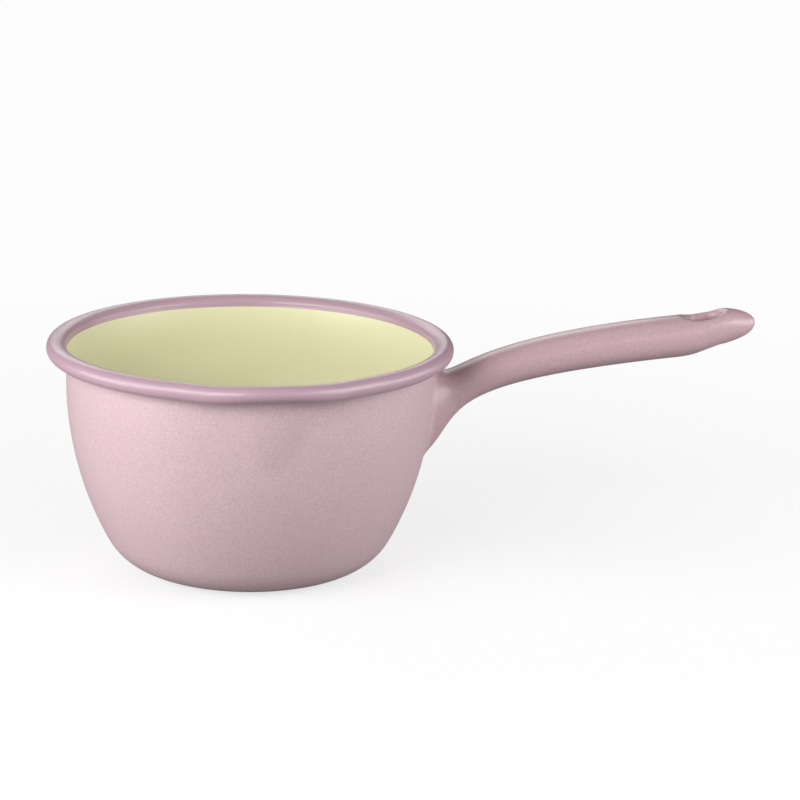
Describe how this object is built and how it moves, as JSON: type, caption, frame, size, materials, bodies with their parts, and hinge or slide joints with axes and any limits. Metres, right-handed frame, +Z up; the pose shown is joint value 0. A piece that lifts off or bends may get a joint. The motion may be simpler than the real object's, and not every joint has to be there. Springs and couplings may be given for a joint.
{
  "type": "saucepan",
  "caption": "Enamelled steel saucepan with a rolled rim, a pouring spout to the left of the handle, and a hollow tube handle with a hanging hole.",
  "frame": {"origin": "centre of the flat base, where it rests on the table, on the vessel's axis", "axes": "+Z up out of the mouth, +X along the handle, -Y towards the pouring spout"},
  "size_m": [0.3133, 0.1808, 0.1106],
  "materials": {
    "steel_sheet": "pressed sheet, covered by enamel",
    "weld_metal": "ground weld, covered by enamel",
    "outer_enamel": "satin pink enamel with a fine mottle",
    "inner_enamel": "smooth pale yellow enamel",
    "rim_enamel": "glossy pink enamel",
    "handle_enamel": "satin pink enamel"
  },
  "bodies": {
    "root": {"vessel_shell": "steel_sheet", "outer_enamel": "outer_enamel", "base_enamel": "outer_enamel", "inner_enamel": "inner_enamel", "rim_enamel": "rim_enamel", "handle_upper_shell": "steel_sheet", "handle_lower_shell": "steel_sheet", "handle_seam_weld": "weld_metal", "handle_foot_weld": "weld_metal", "handle_enamel": "handle_enamel"}
  },
  "joints": []
}
